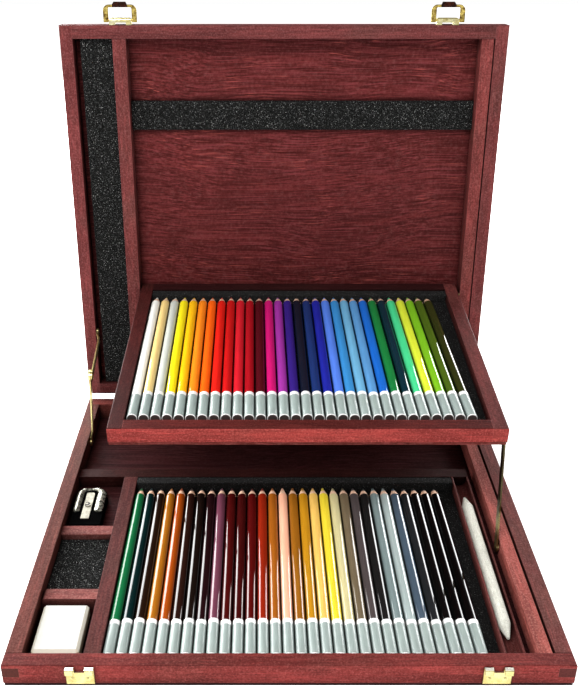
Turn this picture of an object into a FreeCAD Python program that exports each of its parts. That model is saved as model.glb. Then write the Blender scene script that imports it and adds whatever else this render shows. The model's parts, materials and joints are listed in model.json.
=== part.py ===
import FreeCAD, Part
import math
import os

V = FreeCAD.Vector

# Wooden artist's pencil case, lid open.  Millimetres, +Z up, +Y to the back,
# origin at the centre of the underside of the base.

# ---------------------------------------------------------------- case
case_width = 350.0
case_depth = 318.0
base_height = 17.0
lid_height = 17.0
base_rail = 10.5          # width of the four rails of the base
lid_rail = 10.0           # width of the four rails of the lid
panel_thickness = 2.5     # plywood under the base and over the lid
panel_inset = 0.5         # the base panel stands back from the rails
edge_round = 0.7
finger_low = 7.3          # height of the finger joint's middle tongue
finger_high = 14.6
open_lean = 4.0           # the open lid leans this far back past upright
closed_gap = 0.4          # between the two rims when shut

# ---------------------------------------------------------------- hinges
hinge_setback = 2.9       # pin axis behind the back faces
hinge_from_side = 70.0    # case side to the middle of a hinge
hinge_length = 30.0
knuckle_radius = 2.5
knuckle_count = 5
knuckle_gap = 0.2
leaf_thickness = 1.2
leaf_reach = 12.0         # from the pin axis to the edge of a leaf
hinge_pin_radius = 1.2
running_clearance = 0.05  # between a pin and its bore

# ---------------------------------------------------------------- base inside
wall_top = 12.4           # height of the walls that the shut tray passes over
divider_thickness = 10.5
cross_wall_thickness = 9.6
rear_wall_thickness = 11.0
accessory_width = 37.1    # clear width of the column at the left
eraser_bay_length = 52.2
sharpener_bay_length = 62.3
stump_rail_width = 13.3
channel_width = 6.3       # room beside the tray for its arm
filler_width = 8.8
filler_drop = 0.8         # filler strip below the rim
groove_width = 1.6        # between filler strip and side rail
cove_radius = 5.4         # of the stump's groove, wider than the stump
stump_seat_gap = 0.1
stump_proud = 0.4         # the stump stands this far above the walls
lower_foam = 1.5
end_foam_depth = 8.0
end_foam_drop = 0.2       # end strip of the base below the walls
pad_foam = 5.5
foam_clearance = 0.2

# ---------------------------------------------------------------- pencils
pencil_radius = 3.85
pencil_length = 177.5
lower_pencil_pitch = 8.08 # at the flat ends
upper_pencil_pitch = 8.19
point_pitch = 7.97        # the points lie closer together than the flat ends
pencil_cone = 14.0        # length of the sharpened end
lead_tip_radius = 0.6
finger_room = 6.0         # left free beside each row, at least
lower_pencil_start = 0.4  # clear of the divider
lower_pencil_front = 4.7  # clear of the front rail
lower_pencil_tip = 1.5    # points to the foam end strip
upper_pencil_start = 0.6
upper_pencil_front = 6.2
upper_pencil_tip = 1.3

# ---------------------------------------------------------------- tray
tray_over_divider = 5.7   # its left side stands over the left divider
tray_height = 13.8
tray_rail = 10.5
tray_panel = 2.5
tray_foam = 2.8
tray_tilt = 3.88          # back end higher, at the open lid
tray_pivot_from_back = 7.0
tray_pivot_v = 6.9        # above the tray's underside
tray_front_gap = 5.4      # shut, between the tray and the front rail
tray_pivot_depth = 3.2    # from the hinge plane into the lid
tray_pin_radius = 1.2
tray_pin_grip = 5.0       # length of pin inside each strip and rail
arm_pin_u = 13.0
arm_pin_v = 3.6
arm_pin_radius = 1.3

# ---------------------------------------------------------------- tray arm
arm_width = 6.0
arm_thickness = 1.2
arm_side_gap = 0.3
arm_eye_radius = 4.6
arm_free_play = 1.75      # radial play of the upper eye on its pin
arm_foot_radius = 3.6
arm_foot_forward = 18.33  # the base screw stands this far in front of the tray's pin
arm_base_drop = 7.5       # rim down to the arm's base screw
arm_pin_head_radius = 4.3
arm_pin_head = 0.5        # thickness of the pin's flat head
arm_head_gap = 0.2        # between that head and the filler strip
arm_shoulder_radius = 2.2 # spacer between the arm's foot and the filler strip

# ---------------------------------------------------------------- lid stay
stay_width = 6.0
stay_thickness = 1.0
stay_lower_length = 58.13
stay_upper_length = 56.25
stay_base_back = 61.66    # hinge axis forward to the lower pivot
stay_base_drop = 8.46     # rim down to the lower pivot
stay_lid_reach = 62.15    # hinge axis along the lid to the upper pivot
stay_lid_depth = 3.96
stay_rail_gap = 0.2
stay_lower_joggle = 1.3
stay_upper_joggle = 2.5
stay_eye_radius = 5.1     # lower arm's eye
stay_upper_eye_radius = 4.2
stay_foot_radius = 3.6
stay_free_play = 2.3      # radial play of the lower eye on the rivet
stay_rivet_radius = 1.2
stay_rivet_back_radius = 4.8
stay_rivet_back = 0.6     # head of the rivet behind the lower arm
stay_rivet_front_radius = 2.4
stay_rivet_front = 0.4
stay_screw_radius = 1.2

# ---------------------------------------------------------------- lid inside
strip_set_back = 0.6      # strip faces below the lid rim
left_strip_gap = 1.0      # between the tray and the left strip
left_strip_width = 10.6
right_strip_gap = 3.0     # the arm works between the tray and the right strip
strip_groove = 0.9        # between the right strip and the lid rail
column_foam = 10.5
column_gap = 4.8          # left of the foam column, where the stay folds
band_foam = 4.8
band_width = 23.0
band_from_front = 59.0    # foam band to the lid's front face

# ---------------------------------------------------------------- clasps
clasp_from_side = 47.8    # case side to the middle of a clasp
housing_width = 17.0
housing_depth = 7.5
housing_height = 5.3
housing_from_rim = 1.0
housing_notch_width = 9.0
housing_notch_height = 1.8
bail_pivot_height = 3.5   # outside the lid's front rail
bail_pivot_from_rim = 3.5
bail_clearance = 0.6      # between the housing's sides and the bail's arms
bail_arm_width = 3.9
bail_thickness = 1.3
bail_reach = 11.4         # pivot to the far edge of the crossbar
bail_bar_width = 2.0
bail_corner = 4.6
bail_inner_corner = 1.0
bail_heel = 1.6           # arm past the pivot
bail_pin_radius = 0.9
bail_pin_grip = 2.4       # pin inside each side of the housing
thumb_width = 11.6
thumb_taper = 1.2         # narrower by this at each side of the tip
thumb_height = 4.0
thumb_thickness = 0.9
thumb_wrap = 0.4          # thickness of the part that lies on the bail's bar
thumb_curl = 1.6          # how far the tip leans back
keeper_width = 17.2
keeper_plate = 0.9        # sheet thickness
keeper_low = 2.7
keeper_high = 16.7
keeper_tab_width = 5.2
keeper_curl_radius = 1.8  # outside of the two curled hooks
keeper_lip_low = 12.1     # underside of the hooks
keeper_screw_height = 6.6

# ---------------------------------------------------------------- screws
screw_radius = 1.0
screw_head_radius = 2.0
screw_head_height = 0.5
screw_length = 6.0
screw_play = 0.03         # between a thread and its hole, so nothing overlaps

# ---------------------------------------------------------------- contents
eraser_length = 42.0
eraser_width = 30.0
eraser_height = 10.5
eraser_bevel = 1.8
sharpener_width = 23.0
sharpener_length = 44.0
sharpener_height = 7.4
sharpener_from_rail = 3.0
sharpener_from_wall = 5.0
shell_height = 2.4
shell_left = 5.2          # widths of the bright shell's two lobes
shell_right = 7.3
shell_arc = 1.8           # narrow part that joins them at the back
shell_round = 2.4
shell_cut = 14.3          # the shell leaves this much of the block bare in front
blade_width = 6.2
blade_length = 32.0
blade_from_back = 5.4
blade_thickness = 0.8
blade_screw_radius = 2.2
blade_screw_height = 0.8
stump_radius = 4.4
stump_tip_radius = 1.0
stump_length = 148.0
stump_point = 12.0
stump_front = 20.5        # clear of the front rail

# ---------------------------------------------------------------- derived
half_width = case_width / 2
half_depth = case_depth / 2
floor_z = panel_thickness
inner_x = half_width - base_rail
inner_y = half_depth - base_rail
lid_inner_x = half_width - lid_rail
hinge_y = half_depth + hinge_setback
hinge_z = base_height + closed_gap / 2
divider_left = -inner_x + accessory_width
bay_left = divider_left + divider_thickness
rear_wall_front = (-inner_y + lower_pencil_front + pencil_length + lower_pencil_tip
                   + end_foam_depth)
filler_right = inner_x - groove_width
filler_left = filler_right - filler_width
stump_rail_right = filler_left - channel_width
stump_rail_left = stump_rail_right - stump_rail_width
groove_axis_x = (stump_rail_left + stump_rail_right) / 2
eraser_bay_back = -inner_y + eraser_bay_length
sharpener_bay_front = rear_wall_front - sharpener_bay_length
lid_panel_depth = lid_height - panel_thickness
tray_left = bay_left - tray_over_divider
tray_right = filler_left - arm_pin_head - arm_head_gap - 2 * arm_side_gap - arm_thickness
tray_length = (2 * tray_rail + upper_pencil_front + pencil_length + upper_pencil_tip
               + end_foam_depth)
tray_pivot_u = tray_length - tray_pivot_from_back
tray_pivot_reach = hinge_y + inner_y - tray_front_gap - tray_pivot_u
left_strip_right = tray_left - left_strip_gap
right_strip_left = tray_right + right_strip_gap
lid_foam_high = case_depth - band_from_front

parts = {}


def box(x0, x1, y0, y1, z0, z1):
    return Part.makeBox(x1 - x0, y1 - y0, z1 - z0, V(x0, y0, z0))


def rod_x(x0, x1, y, z, radius):
    return Part.makeCylinder(radius, x1 - x0, V(x0, y, z), V(1, 0, 0))


def rounded(shape, radius, wanted):
    """Fillet the straight edges whose two ends both satisfy wanted(point)."""
    edges = [e for e in shape.Edges
             if len(e.Vertexes) == 2 and all(wanted(v.Point) for v in e.Vertexes)]
    return shape.makeFillet(radius, edges) if edges else shape


def near(a, b):
    return abs(a - b) < 1e-6


def on_lid(shape):
    """Move a shape from the lid's own frame (X, depth, height) to the open lid."""
    moved = shape.copy()
    moved.translate(V(0, hinge_y + closed_gap / 2, hinge_z + hinge_setback))
    moved.rotate(V(0, hinge_y, hinge_z), V(1, 0, 0), -open_lean)
    return moved


def lid_point(along, depth):
    """(y, z) of a point given from the hinge axis, along and into the open lid."""
    lean = math.radians(open_lean)
    y = hinge_y + along * math.sin(lean) + depth * math.cos(lean)
    z = hinge_z + along * math.cos(lean) - depth * math.sin(lean)
    return y, z


def on_tray(shape):
    """Move a shape from the tray's own frame (X, from front, from underside)."""
    pivot_y, pivot_z = lid_point(tray_pivot_reach, tray_pivot_depth)
    moved = shape.copy()
    moved.translate(V(0, pivot_y - tray_pivot_u, pivot_z - tray_pivot_v))
    moved.rotate(V(0, pivot_y, pivot_z), V(1, 0, 0), tray_tilt)
    return moved


def tray_point(u, v):
    tilt = math.radians(tray_tilt)
    pivot_y, pivot_z = lid_point(tray_pivot_reach, tray_pivot_depth)
    du, dv = u - tray_pivot_u, v - tray_pivot_v
    return (pivot_y + du * math.cos(tilt) - dv * math.sin(tilt),
            pivot_z + du * math.sin(tilt) + dv * math.cos(tilt))


def screw(head, direction, length=screw_length, shank=screw_radius):
    """Wood screw with a low conical head; head is the centre of the head's seat."""
    axis = V(*direction)
    seat = V(*head)
    cap = Part.makeCone(screw_head_radius, screw_head_radius * 0.55, screw_head_height,
                        seat, axis * -1)
    return cap.fuse(Part.makeCylinder(shank, length, seat, axis)).removeSplitter()


def drill(names, head, direction, length=screw_length, shank=screw_radius):
    """Cut the screw's hole through each named part."""
    axis = V(*direction)
    start = V(*head) - axis
    hole = Part.makeCylinder(shank + screw_play, length + 1 + screw_play, start, axis)
    for name in names:
        parts[name] = parts[name].cut(hole)


def drive(names, head, direction, length=screw_length, shank=screw_radius):
    drill(names, head, direction, length, shank)
    return screw(head, direction, length, shank)


def group(shapes):
    return Part.makeCompound(shapes)


# ---------------------------------------------------------------- rails
def frame_rails(prefix, rail, low, high, tongue_low, tongue_high):
    """Four rails with one finger of each side rail let through front and back."""
    x, y = half_width, half_depth
    fingers = [box(sx - rail / 2, sx + rail / 2, -y, y, tongue_low, tongue_high)
               for sx in (-x + rail / 2, x - rail / 2)]
    front = box(-x, x, -y, -y + rail, low, high)
    back = box(-x, x, y - rail, y, low, high)
    left = box(-x, -x + rail, -y + rail, y - rail, low, high)
    right = box(x - rail, x, -y + rail, y - rail, low, high)
    return front, back, left, right, fingers


def build_base_frame():
    front, back, left, right, fingers = frame_rails(
        "base", base_rail, floor_z, base_height, finger_low, finger_high)
    top = base_height
    front = rounded(front, edge_round, lambda p: near(p.z, top) and (
        near(p.y, -half_depth) or near(abs(p.x), half_width)))
    back = rounded(back, edge_round, lambda p: near(p.z, top) and (
        near(p.y, half_depth) or near(abs(p.x), half_width)))
    for finger in fingers:
        front = front.cut(finger)
        back = back.cut(finger)
    left = rounded(left, edge_round, lambda p: near(p.z, top) and near(p.x, -half_width))
    right = rounded(right, edge_round, lambda p: near(p.z, top) and near(p.x, half_width))
    parts["base_front_rail"] = front
    parts["base_back_rail"] = back
    parts["base_left_rail"] = left.fuse(fingers[0]).removeSplitter()
    parts["base_right_rail"] = right.fuse(fingers[1]).removeSplitter()
    parts["base_bottom_panel"] = box(
        -half_width + panel_inset, half_width - panel_inset,
        -half_depth + panel_inset, half_depth - panel_inset, 0, floor_z)


def build_base_inside():
    parts["left_divider"] = box(divider_left, bay_left, -inner_y, rear_wall_front,
                                floor_z, wall_top)
    rear_back = rear_wall_front + rear_wall_thickness
    parts["rear_divider"] = box(-inner_x, stump_rail_right, rear_wall_front, rear_back,
                                floor_z, wall_top)
    pad_front = eraser_bay_back + cross_wall_thickness
    pad_back = sharpener_bay_front - cross_wall_thickness
    front_wall = box(-inner_x, divider_left, eraser_bay_back, pad_front, floor_z, wall_top)
    rear_wall = box(-inner_x, divider_left, pad_back, sharpener_bay_front, floor_z, wall_top)
    bullnose = cross_wall_thickness * 0.3
    parts["compartment_wall_front"] = rounded(front_wall, bullnose, lambda p: (
        near(p.z, wall_top) and near(p.x, -inner_x)))
    parts["compartment_wall_rear"] = rounded(rear_wall, edge_round, lambda p: (
        near(p.z, wall_top) and near(p.y, pad_back)))
    parts["right_filler_strip"] = box(filler_left, filler_right, -inner_y, inner_y,
                                      floor_z, base_height - filler_drop)
    rail = box(stump_rail_left, stump_rail_right, -inner_y, rear_wall_front,
               floor_z, wall_top)
    groove_bottom = stump_axis_z() - stump_radius - stump_seat_gap
    groove = Part.makeCylinder(cove_radius, rear_wall_front + inner_y,
                               V(groove_axis_x, -inner_y, groove_bottom + cove_radius),
                               V(0, 1, 0))
    mouth = box(groove_axis_x - cove_radius, groove_axis_x + cove_radius,
                -inner_y, rear_wall_front, groove_bottom + cove_radius, wall_top)
    parts["stump_rail"] = rail.cut(groove.fuse(mouth))
    parts["lower_foam_bed"] = box(bay_left, stump_rail_left, -inner_y, rear_wall_front,
                                  floor_z, floor_z + lower_foam)
    bed_top = floor_z + lower_foam
    parts["lower_foam_end_strip"] = box(
        bay_left, stump_rail_left, rear_wall_front - end_foam_depth, rear_wall_front,
        bed_top, wall_top - end_foam_drop)
    parts["accessory_foam_pad"] = box(
        -inner_x + foam_clearance, divider_left - foam_clearance,
        pad_front + foam_clearance, pad_back - foam_clearance,
        floor_z, floor_z + pad_foam)


def stump_axis_z():
    return wall_top - stump_radius + stump_proud


# ---------------------------------------------------------------- lid
def build_lid_frame():
    """Lid in its own frame: X across, Y from the rim into the lid, Z up from the back."""
    deep = lid_panel_depth
    x, rail = half_width, lid_rail
    high = case_depth
    outer = box(-x, x, 0, deep, 0, high)
    outer = rounded(outer, edge_round, lambda p: near(p.y, 0))
    tongue = box(-x, x, lid_height - finger_high, lid_height - finger_low, 0, high)
    across = box(-x + rail, x - rail, 0, deep, 0, high).fuse(tongue)
    top = outer.common(box(-x, x, 0, deep, high - rail, high)).common(across)
    bottom = outer.common(box(-x, x, 0, deep, 0, rail)).common(across)
    ends = tongue.cut(box(-x, x, 0, deep, rail, high - rail))
    left = outer.common(box(-x, -x + rail, 0, deep, 0, high)).cut(ends)
    right = outer.common(box(x - rail, x, 0, deep, 0, high)).cut(ends)
    parts["lid_front_rail"] = on_lid(top)
    parts["lid_back_rail"] = on_lid(bottom)
    parts["lid_left_rail"] = on_lid(left.removeSplitter())
    parts["lid_right_rail"] = on_lid(right.removeSplitter())
    panel = box(-x, x, deep, lid_height, 0, high)
    panel = rounded(panel, edge_round, lambda p: near(p.y, lid_height))
    parts["lid_panel"] = on_lid(panel)


def build_lid_inside():
    low, high = lid_rail, case_depth - lid_rail
    deep = lid_panel_depth
    left = box(left_strip_right - left_strip_width, left_strip_right,
               strip_set_back, deep, low, high)
    right = box(right_strip_left, lid_inner_x - strip_groove, strip_set_back, deep, low, high)
    parts["lid_left_strip"] = on_lid(left)
    parts["lid_right_strip"] = on_lid(right)
    column = box(-lid_inner_x + column_gap, left_strip_right - left_strip_width,
                 deep - column_foam, deep, low, high)
    parts["lid_foam_column"] = on_lid(column)
    band = box(left_strip_right, right_strip_left, deep - band_foam, deep,
               lid_foam_high - band_width, lid_foam_high)
    parts["lid_foam_band"] = on_lid(band)


# ---------------------------------------------------------------- hinges
def knuckles(centre_x, wanted, y, z, radius):
    pitch = hinge_length / knuckle_count
    start = centre_x - hinge_length / 2
    return [rod_x(start + i * pitch + knuckle_gap / 2, start + (i + 1) * pitch - knuckle_gap / 2,
                  y, z, radius) for i in range(knuckle_count) if i % 2 == wanted]


def hinge_leaf(centre_x, wanted, y, z, plate):
    """Plate with rolled knuckles, notched where the other leaf's knuckles turn."""
    leaf = plate
    for roll in knuckles(centre_x, wanted, y, z, knuckle_radius):
        leaf = leaf.fuse(roll)
    pitch = hinge_length / knuckle_count
    start = centre_x - hinge_length / 2
    room = knuckle_radius + 2 * knuckle_gap
    for i in range(knuckle_count):
        if i % 2 != wanted:
            leaf = leaf.cut(rod_x(start + i * pitch - knuckle_gap / 2,
                                  start + (i + 1) * pitch + knuckle_gap / 2, y, z, room))
    bore = rod_x(centre_x - hinge_length, centre_x + hinge_length, y, z,
                 hinge_pin_radius + running_clearance)
    return leaf.cut(bore).removeSplitter()


def build_hinges():
    base_leaves, lid_leaves, pins, base_screws, lid_screws = [], [], [], [], []
    own_y, own_z = -closed_gap / 2, -hinge_setback
    for side in (-1, 1):
        x = side * (half_width - hinge_from_side)
        left, right = x - hinge_length / 2, x + hinge_length / 2
        plate = box(left, right, half_depth, half_depth + leaf_thickness,
                    hinge_z - leaf_reach, hinge_z)
        base_leaves.append(hinge_leaf(x, 0, hinge_y, hinge_z, plate))
        plate = box(left, right, own_y, own_y + leaf_reach, -leaf_thickness, 0)
        lid_leaves.append(on_lid(hinge_leaf(x, 1, own_y, own_z, plate)))
        pins.append(rod_x(left - 0.5, right + 0.5, hinge_y, hinge_z, hinge_pin_radius))
    parts["base_hinge_leaves"] = group(base_leaves)
    parts["lid_hinge_leaves"] = group(lid_leaves)
    parts["hinge_pins"] = group(pins)
    screw_down = leaf_reach * 0.68
    y, z = lid_point(hinge_setback - leaf_thickness, 0)
    lean = math.radians(open_lean)
    into_lid = (0, math.sin(lean), math.cos(lean))
    for side in (-1, 1):
        for offset in (-0.3, 0.3):
            x = side * (half_width - hinge_from_side) + offset * hinge_length
            base_screws.append(drive(
                ["base_hinge_leaves", "base_back_rail"],
                (x, half_depth + leaf_thickness, hinge_z - screw_down), (0, -1, 0)))
            head_y, head_z = lid_point(hinge_setback - leaf_thickness, screw_down)
            lid_screws.append(drive(["lid_hinge_leaves", "lid_back_rail"],
                                    (x, head_y, head_z), into_lid))
    parts["base_hinge_screws"] = group(base_screws)
    parts["lid_hinge_screws"] = group(lid_screws)


# ---------------------------------------------------------------- tray
def build_tray():
    left, right = tray_left, tray_right
    long, high, rail = tray_length, tray_height, tray_rail
    top = tray_height
    side_left = box(left, left + rail, 0, long, tray_panel, high)
    side_right = box(right - rail, right, 0, long, tray_panel, high)
    side_left = rounded(side_left, edge_round, lambda p: near(p.z, top) and (
        near(p.x, left) or near(p.y, 0)))
    side_right = rounded(side_right, edge_round, lambda p: near(p.z, top) and (
        near(p.x, right) or near(p.y, 0)))
    front = box(left + rail, right - rail, 0, rail, tray_panel, high)
    front = rounded(front, edge_round, lambda p: near(p.z, top) and near(p.y, 0))
    back = box(left + rail, right - rail, long - rail, long, tray_panel, high)
    inset = panel_inset
    panel = box(left + inset, right - inset, inset, long - inset, 0, tray_panel)
    bed = box(left + rail, right - rail, rail, long - rail, tray_panel, tray_panel + tray_foam)
    end = box(left + rail, right - rail, long - rail - end_foam_depth, long - rail,
              tray_panel + tray_foam, high - 1.2)
    parts["tray_left_rail"] = on_tray(side_left)
    parts["tray_right_rail"] = on_tray(side_right)
    parts["tray_front_rail"] = on_tray(front)
    parts["tray_back_rail"] = on_tray(back)
    parts["tray_panel"] = on_tray(panel)
    parts["tray_foam_bed"] = on_tray(bed)
    parts["tray_foam_end_strip"] = on_tray(end)


def build_tray_pins():
    """Fixed pins of the lid that the tray's side rails turn on."""
    y, z = lid_point(tray_pivot_reach, tray_pivot_depth)
    bore = tray_pin_radius + running_clearance
    grip = tray_pin_grip
    spans = [(left_strip_right - grip, tray_left + grip),
             (tray_right - grip, right_strip_left + grip)]
    pins = []
    for (start, end), strip, rail in zip(
            spans, ("lid_left_strip", "lid_right_strip"), ("tray_left_rail", "tray_right_rail")):
        pins.append(rod_x(start, end, y, z, tray_pin_radius))
        parts[rail] = parts[rail].cut(rod_x(start - 0.1, end + 0.1, y, z, bore))
        parts[strip] = parts[strip].cut(rod_x(start, end, y, z, tray_pin_radius + screw_play))
    parts["tray_pivot_pins"] = group(pins)


def strip_profile(length, thickness, joggles):
    """Side view of a flat bar along Z; joggles are (start, run, offset) in X."""
    path = [(0.0, 0.0)]
    offset = 0.0
    for start, run, step in joggles:
        path.append((start, offset))
        offset += step
        path.append((start + run, offset))
    path.append((length, offset))
    near_side = [V(x, 0, z) for z, x in path]
    far_side = [V(x + thickness, 0, z) for z, x in reversed(path)]
    outline = near_side + far_side + [near_side[0]]
    return Part.Face(Part.makePolygon(outline))


def link(x, thickness, foot, tip, width, foot_radius, tip_radius, joggles):
    """Flat bar from foot to tip, with round eyes, in the plane X = x."""
    length = math.hypot(tip[0] - foot[0], tip[1] - foot[1])
    low, high = -foot_radius, length + tip_radius
    shifted = [(start - low, run, step) for start, run, step in joggles]
    wide = 2 * max(foot_radius, tip_radius, width / 2)
    side = strip_profile(high - low, thickness, shifted)
    side.translate(V(0, -wide / 2, low))
    bar = side.extrude(V(0, wide, 0))
    reach = sum(abs(step) for _, _, step in joggles) + thickness + 1
    outline = box(-reach, reach, -width / 2, width / 2, 0, length)
    outline = outline.fuse(rod_x(-reach, reach, 0, 0, foot_radius))
    outline = outline.fuse(rod_x(-reach, reach, 0, length, tip_radius))
    bar = bar.common(outline)
    angle = math.degrees(math.atan2(tip[1] - foot[1], tip[0] - foot[0]))
    bar.rotate(V(0, 0, 0), V(1, 0, 0), angle - 90)
    bar.translate(V(x, foot[0], foot[1]))
    return bar


def build_tray_arm():
    tip = tray_point(arm_pin_u, arm_pin_v)
    foot = (tip[0] - arm_foot_forward, base_height - arm_base_drop)
    x = tray_right + arm_side_gap
    arm = link(x, arm_thickness, foot, tip, arm_width, arm_foot_radius, arm_eye_radius, [])
    far = x + arm_thickness
    arm = arm.cut(rod_x(x - 1, far + 1, foot[0], foot[1], screw_radius + running_clearance))
    arm = arm.cut(rod_x(x - 1, far + 1, tip[0], tip[1], arm_pin_radius + arm_free_play))
    parts["tray_arm"] = arm
    seat = x - running_clearance
    pivot = drive(["right_filler_strip"], (seat, foot[0], foot[1]), (1, 0, 0),
                  screw_length + filler_left - seat)
    shoulder = rod_x(far + running_clearance, filler_left, foot[0], foot[1], arm_shoulder_radius)
    parts["base_pivot_screws"] = [pivot.fuse(shoulder).removeSplitter()]
    head_at = far + arm_side_gap
    pin_start = tray_right - tray_pin_grip
    pin = rod_x(pin_start, head_at, tip[0], tip[1], arm_pin_radius)
    head = rod_x(head_at, head_at + arm_pin_head, tip[0], tip[1], arm_pin_head_radius)
    parts["tray_arm_pin"] = pin.fuse(head).removeSplitter()
    hole = rod_x(pin_start, far, tip[0], tip[1], arm_pin_radius + screw_play)
    for name in ("tray_right_rail", "tray_panel"):
        parts[name] = parts[name].cut(hole)


# ---------------------------------------------------------------- lid stay
def stay_knee(foot, top):
    """Where the two arms meet, on the front side of the line between the pivots."""
    span = math.hypot(top[0] - foot[0], top[1] - foot[1])
    along = (stay_lower_length ** 2 - stay_upper_length ** 2 + span ** 2) / (2 * span)
    off = math.sqrt(max(stay_lower_length ** 2 - along ** 2, 0.0))
    ey, ez = (top[0] - foot[0]) / span, (top[1] - foot[1]) / span
    return foot[0] + along * ey - off * ez, foot[1] + along * ez + off * ey


def build_stay():
    foot = (hinge_y - stay_base_back, base_height - stay_base_drop)
    top = lid_point(stay_lid_reach, stay_lid_depth)
    knee = stay_knee(foot, top)
    low_x = -inner_x + stay_rail_gap
    lower = link(low_x, stay_thickness, foot, knee, stay_width, stay_foot_radius,
                 stay_eye_radius, [(5.0, 5.0, stay_lower_joggle)])
    main_x = low_x + stay_lower_joggle
    bore = stay_screw_radius + running_clearance
    lower = lower.cut(rod_x(low_x - 1, main_x + 3, foot[0], foot[1], bore))
    lower = lower.cut(rod_x(low_x - 1, main_x + 3, knee[0], knee[1],
                            stay_rivet_radius + stay_free_play))
    parts["stay_lower_arm"] = lower
    upper_main = main_x + stay_thickness + stay_rail_gap
    upper_foot = upper_main - stay_upper_joggle
    upper = link(upper_foot, stay_thickness, top, knee, stay_width, stay_foot_radius,
                 stay_upper_eye_radius, [(5.0, 5.0, stay_upper_joggle)])
    upper = upper.cut(rod_x(upper_foot - 1, upper_main + 3, top[0], top[1], bore))
    back_at, front_at = main_x - stay_rail_gap, upper_main + stay_thickness
    rivet = rod_x(back_at, front_at, knee[0], knee[1], stay_rivet_radius)
    back_head = rod_x(back_at - stay_rivet_back, back_at, knee[0], knee[1],
                      stay_rivet_back_radius)
    front_head = rod_x(front_at, front_at + stay_rivet_front, knee[0], knee[1],
                       stay_rivet_front_radius)
    parts["stay_upper_arm"] = upper.fuse(rivet).fuse(back_head).fuse(front_head).removeSplitter()
    low_seat = low_x + stay_thickness + running_clearance
    parts["base_pivot_screws"].append(drive(
        ["base_left_rail"], (low_seat, foot[0], foot[1]), (-1, 0, 0),
        screw_length + low_seat + inner_x, stay_screw_radius))
    top_seat = upper_foot + stay_thickness + running_clearance
    parts["stay_lid_screw"] = drive(
        ["lid_left_rail"], (top_seat, top[0], top[1]), (-1, 0, 0),
        screw_length + top_seat + lid_inner_x, stay_screw_radius)


# ---------------------------------------------------------------- clasps
def latch_housing(centre_x):
    """Arched cover on the outside of the lid's front rail, in the lid's frame."""
    half = housing_width / 2
    near_y, far_y = housing_from_rim, housing_from_rim + housing_depth
    top = case_depth + housing_height
    body = box(centre_x - half, centre_x + half, near_y, far_y, case_depth, top)
    body = rounded(body, housing_height * 0.35, lambda p: near(p.z, top) and (
        near(p.y, near_y) or near(p.y, far_y)))
    notch = housing_notch_width / 2
    gap = box(centre_x - notch, centre_x + notch, near_y - 1, far_y + 1,
              case_depth, case_depth + housing_notch_height)
    axis_y, axis_z = bail_pivot_from_rim, case_depth + bail_pivot_height
    body = body.cut(gap)
    for side in (-1, 1):
        inside = centre_x + side * (half - bail_pin_grip)
        outside = centre_x + side * (half + 1)
        body = body.cut(rod_x(min(inside, outside), max(inside, outside), axis_y, axis_z,
                              bail_pin_radius + running_clearance))
    return body


def upper_corners(shape, radius, top):
    """Round the two upper corners, seen along Y."""
    edges = [e for e in shape.Edges if len(e.Vertexes) == 2
             and near(e.Vertexes[0].Point.x, e.Vertexes[1].Point.x)
             and all(near(v.Point.z, top) for v in e.Vertexes)]
    return shape.makeFillet(radius, edges)


def latch_bail(centre_x):
    """U-shaped bail standing straight out from the housing, in the lid's frame."""
    axis_y, axis_z = bail_pivot_from_rim, case_depth + bail_pivot_height
    inner = housing_width / 2 + bail_clearance
    outer = inner + bail_arm_width
    y0, y1 = axis_y - bail_thickness / 2, axis_y + bail_thickness / 2
    low, top = axis_z - bail_heel, axis_z + bail_reach
    ring = upper_corners(box(centre_x - outer, centre_x + outer, y0, y1, low, top),
                         bail_corner, top)
    under_bar = top - bail_bar_width
    window = box(centre_x - inner, centre_x + inner, y0 - 1, y1 + 1, low - 1, under_bar)
    ring = ring.cut(upper_corners(window, bail_inner_corner, under_bar))
    for side in (-1, 1):
        inside = centre_x + side * (housing_width / 2 - bail_pin_grip + running_clearance)
        outside = centre_x + side * (inner + 0.5)
        ring = ring.fuse(rod_x(min(inside, outside), max(inside, outside), axis_y, axis_z,
                               bail_pin_radius))
    return ring.removeSplitter()


def latch_thumb(centre_x):
    """Thumb tab that wraps the crossbar and leans back from it."""
    axis_y, axis_z = bail_pivot_from_rim, case_depth + bail_pivot_height
    bend = axis_z + bail_reach
    low, tip = bend - bail_bar_width, bend - bail_bar_width + thumb_height
    bar = axis_y - bail_thickness / 2
    face = bar - thumb_wrap
    outline = [V(0, face, low), V(0, face, bend), V(0, face + thumb_curl, tip),
               V(0, face + thumb_curl + thumb_thickness, tip),
               V(0, face + thumb_thickness, bend), V(0, bar, bend), V(0, bar, low)]
    half = thumb_width / 2
    side = Part.Face(Part.makePolygon(outline + [outline[0]]))
    side.translate(V(centre_x - half, 0, 0))
    tab = side.extrude(V(thumb_width, 0, 0))
    outline = [V(centre_x - half, 0, low), V(centre_x + half, 0, low),
               V(centre_x + half, 0, bend), V(centre_x + half - thumb_taper, 0, tip),
               V(centre_x - half + thumb_taper, 0, tip), V(centre_x - half, 0, bend)]
    trim = Part.Face(Part.makePolygon(outline + [outline[0]]))
    trim.translate(V(0, face - 1, 0))
    return tab.common(trim.extrude(V(0, thumb_curl + thumb_thickness + 2, 0)))


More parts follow.
